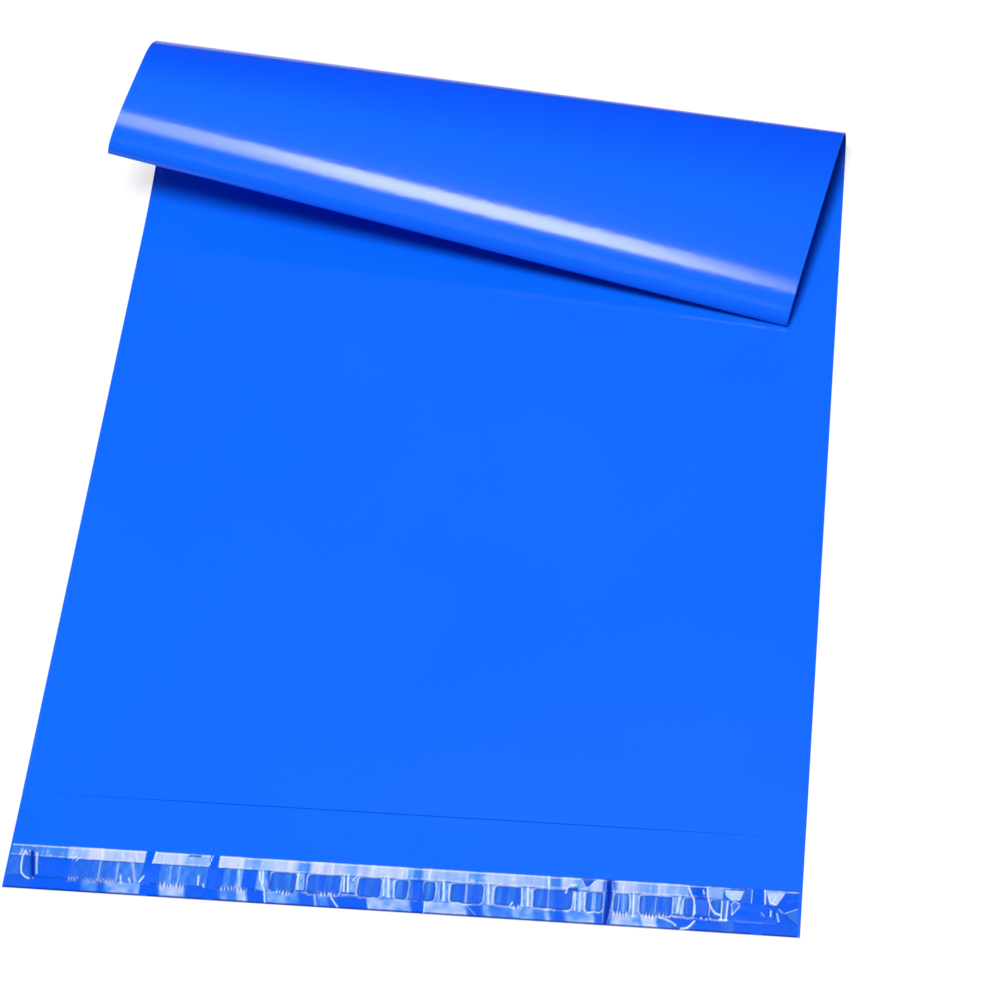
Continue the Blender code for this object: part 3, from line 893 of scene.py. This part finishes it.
def film_material(finish):
    """Glossy blue film with a thin coat, a little deeper in uneven places, with painted shade on the curl's
    crest.
    """
    material, tree, inputs = new_material("glossy_blue_film", finish.film_roughness, specular=0.16)
    inputs["Coat Weight"].default_value = 0.32
    inputs["Coat Roughness"].default_value = 0.12
    grain = add_grain(tree, inputs, grain_scale=300.0, wave_scale=9.0, strength=0.30, distance=0.0004)
    grain.inputs["Wave Share"].default_value = 0.5
    uneven_roughness(tree, inputs, grain, finish.film_roughness, finish.film_roughness + 0.02)
    blue = mix_colour(tree, grain.outputs["Uneven"], finish.film_blue, finish.film_deep)
    # Painted shade: the curl's crest drawn a deeper blue
    blue = mix_colour(tree, point_values(tree, "crest"), blue, finish.film_crest_shade)
    feed(tree, inputs["Base Color"], blue)
    return material


def glue_material(finish):
    """Clear glue, in the blue of the film under it."""
    material, tree, inputs = new_material("clear_glue_on_blue", roughness=0.2, specular=0.4)
    grain = add_grain(tree, inputs, grain_scale=400.0, wave_scale=60.0, strength=0.3, distance=0.0006)
    uneven_roughness(tree, inputs, grain, low=0.12, high=0.3)
    blue = mix_colour(tree, grain.outputs["Uneven"], finish.glue_blue, finish.glue_light)
    feed(tree, inputs["Base Color"], blue)
    return material


def liner_material(finish):
    """Clear film, lavender where air is trapped, with painted highlights and painted shade on creases and
    edges.
    """
    material, tree, inputs = new_material("clear_release_film", finish.liner_roughness, specular=0.15)
    grain = add_grain(tree, inputs, grain_scale=500.0, wave_scale=45.0, strength=0.35, distance=0.0005)
    air, glint, painted_shade = (point_values(tree, name) for name in ("air", "glint", "painted_shade"))
    airy = new_node(tree, "ValToRGB", Fac=air)
    stops = airy.color_ramp.elements
    stops[0].color = finish.liner_clear
    stops[1].color = finish.liner_haze
    stops.new(0.45).color = finish.liner_thin
    thick = new_node(tree, "MapRange", Value=air, From_Min=0.5)
    warm = combined(tree, "MULTIPLY", thick.outputs["Result"], grain.outputs["Uneven"])
    shade = mix_colour(tree, warm, airy.outputs["Color"], finish.liner_warm)
    # Painted highlights: the glints drawn in white
    shade = mix_colour(tree, glint, shade, finish.liner_glint_white)
    # Painted shade: the dark lines drawn in dark blue
    shade = mix_colour(tree, painted_shade, shade, finish.liner_shade_blue)
    feed(tree, inputs["Base Color"], shade)
    cover = combined(tree, "MAXIMUM", air, glint, painted_shade)
    opacity = new_node(tree, "MapRange", Value=cover, From_Max=0.5, To_Min=0.16, To_Max=1.0)
    feed(tree, inputs["Alpha"], opacity.outputs["Result"])
    return material


def floor_material():
    """White paper floor: white to the camera and in gloss, and it keeps the shadow that falls on it."""
    material, tree, inputs = new_material("white_floor", roughness=0.9, specular=0.0)
    inputs["Base Color"].default_value = (FLOOR_GREY, FLOOR_GREY, FLOOR_GREY, 1.0)
    paper = tree.nodes["Principled BSDF"].outputs["BSDF"]
    glow = new_node(tree, "Emission", Color=WHITE, Strength=FLOOR_GLOW)
    both = new_node(tree, "AddShader")
    feed(tree, both.inputs[0], paper)
    feed(tree, both.inputs[1], glow.outputs["Emission"])
    rays = new_node(tree, "LightPath").outputs
    shows = combined(tree, "MAXIMUM", rays["Is Camera Ray"], rays["Is Glossy Ray"],
                     rays["Is Transmission Ray"])
    surface = mix_shader(tree, shows, paper, both.outputs["Shader"])
    feed(tree, tree.nodes["Material Output"].inputs["Surface"], surface)
    return material


def set_sky(strength):
    """Even light from all round, seen as plain white by the camera and through clear things."""
    world = bpy.data.worlds.new("studio_sky")
    bpy.context.scene.world = world
    world.use_nodes = True
    tree = world.node_tree
    sky = tree.nodes["Background"]
    sky.inputs["Color"].default_value = WHITE
    sky.inputs["Strength"].default_value = strength
    white = new_node(tree, "Background", Color=WHITE, Strength=1.0)
    rays = new_node(tree, "LightPath").outputs
    shows = combined(tree, "MAXIMUM", rays["Is Camera Ray"], rays["Is Transmission Ray"])
    surface = mix_shader(tree, shows, sky.outputs["Background"], white.outputs["Background"])
    feed(tree, tree.nodes["World Output"].inputs["Surface"], surface)


def add_area_light(name, place, aim, size_x, size_y, energy):
    """A rectangular soft light at a place, turned to its aim."""
    data = bpy.data.lights.new(name, "AREA")
    data.shape = "RECTANGLE"
    data.size = size_x
    data.size_y = size_y
    data.energy = energy
    lamp = bpy.data.objects.new(name, data)
    lamp.location = place
    lamp.rotation_euler = (Vector(aim) - Vector(place)).to_track_quat("-Z", "Y").to_euler()
    bpy.context.scene.collection.objects.link(lamp)
    return lamp


def add_lights(studio):
    """The soft light on the whole bag, which gloss leaves out, and the two strips that only gloss shows."""
    softbox = add_area_light("window_softbox", SOFTBOX_PLACE, (0.0, 0.0, 0.0), SOFTBOX_SIDE, SOFTBOX_SIDE,
                             studio.key_power)
    softbox.visible_glossy = False
    for (name, place, size), energy in zip(STRIPS, (studio.strip_power, studio.core_power)):
        strip = add_area_light(name, place, (place[0], STRIP_AIM_Y, 0.0), size, STRIP_WIDTH, energy)
        strip.visible_diffuse = False


def camera_matrix(studio):
    """Place and turn of the camera from its angles, its roll and its distance to its aim."""
    forward = Vector((math.sin(studio.azimuth) * math.cos(studio.elevation),
                      math.cos(studio.azimuth) * math.cos(studio.elevation), -math.sin(studio.elevation)))
    level = Vector((math.cos(studio.azimuth), -math.sin(studio.azimuth), 0.0))
    upright = level.cross(forward)
    right = math.cos(studio.roll) * level + math.sin(studio.roll) * upright
    up = math.cos(studio.roll) * upright - math.sin(studio.roll) * level
    matrix = Matrix((right, up, -forward)).transposed().to_4x4()
    matrix.translation = Vector((studio.aim_x, studio.aim_y, 0.0)) - studio.distance * forward
    return matrix


def add_camera(studio):
    """The camera at the photograph's viewing angle."""
    data = bpy.data.cameras.new("product_camera")
    data.lens = studio.lens
    data.sensor_width = SENSOR_MM
    camera = bpy.data.objects.new("product_camera", data)
    camera.matrix_world = camera_matrix(studio)
    bpy.context.scene.collection.objects.link(camera)
    bpy.context.scene.camera = camera


class OBJECT_OT_mailer_film(bpy.types.Operator):
    """Builds the folded and curled film bag"""
    bl_idname = "object.mailer_film"
    bl_label = "Film bag"

    def execute(self, context):
        scene = context.scene
        film = film_mesh(scene.mailer_sizes)
        film.data.materials.append(film_material(scene.mailer_finishes))
        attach(film, "root")
        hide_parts("bag_film")
        return {"FINISHED"}


class OBJECT_OT_glue_band(bpy.types.Operator):
    """Builds the band of clear glue on the flap"""
    bl_idname = "object.glue_band"
    bl_label = "Glue band"

    def execute(self, context):
        scene = context.scene
        glue = glue_mesh(scene.mailer_liner, scene.mailer_sizes.flap_lift)
        glue.data.materials.append(glue_material(scene.mailer_finishes))
        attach(glue, "root")
        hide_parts("adhesive_strip")
        return {"FINISHED"}


class OBJECT_OT_clear_liner(bpy.types.Operator):
    """Builds the clear liner that covers the glue"""
    bl_idname = "object.clear_liner"
    bl_label = "Clear liner"

    def execute(self, context):
        scene = context.scene
        liner = liner_mesh(scene.mailer_liner, scene.mailer_sizes.flap_lift)
        liner.data.materials.append(liner_material(scene.mailer_finishes))
        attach(liner, "root")
        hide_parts("release_liner")
        return {"FINISHED"}


class SCENE_OT_bag_studio(bpy.types.Operator):
    """Sets the floor, the lights and the camera"""
    bl_idname = "scene.bag_studio"
    bl_label = "Studio"

    def execute(self, context):
        studio = context.scene.mailer_studio
        bpy.ops.mesh.primitive_grid_add(x_subdivisions=4, y_subdivisions=4, size=FLOOR_SIZE,
                                        location=(0.0, 0.0, -FLOOR_DROP))
        floor = context.active_object
        floor.name = "studio_floor"
        floor.data.materials.append(floor_material())
        set_sky(studio.sky)
        add_lights(studio)
        add_camera(studio)
        context.scene.view_settings.view_transform = "Standard"
        return {"FINISHED"}


class VIEW3D_PT_mailer_bag(bpy.types.Panel):
    """Lists the bag's pieces and its studio"""
    bl_label = "Poly mailer bag"
    bl_idname = "VIEW3D_PT_mailer_bag"
    bl_space_type = "VIEW_3D"
    bl_region_type = "UI"
    bl_category = "Bag"

    def draw(self, context):
        for operator in OPERATORS:
            self.layout.operator(operator.bl_idname)


OPERATORS = (OBJECT_OT_mailer_film, OBJECT_OT_glue_band, OBJECT_OT_clear_liner, SCENE_OT_bag_studio)
SETTINGS = (("mailer_sizes", BagSizes), ("mailer_liner", LinerSizes), ("mailer_finishes", Finishes),
            ("mailer_studio", Studio))


def register():
    for name, group in SETTINGS:
        bpy.utils.register_class(group)
        setattr(bpy.types.Scene, name, PointerProperty(type=group))
    for operator in OPERATORS:
        bpy.utils.register_class(operator)
    bpy.utils.register_class(VIEW3D_PT_mailer_bag)


def unregister():
    bpy.utils.unregister_class(VIEW3D_PT_mailer_bag)
    for operator in reversed(OPERATORS):
        bpy.utils.unregister_class(operator)
    for name, group in reversed(SETTINGS):
        delattr(bpy.types.Scene, name)
        bpy.utils.unregister_class(group)


def main():
    register()
    bpy.ops.object.mailer_film()
    bpy.ops.object.glue_band()
    bpy.ops.object.clear_liner()
    bpy.ops.scene.bag_studio()


if __name__ == "__main__":
    main()
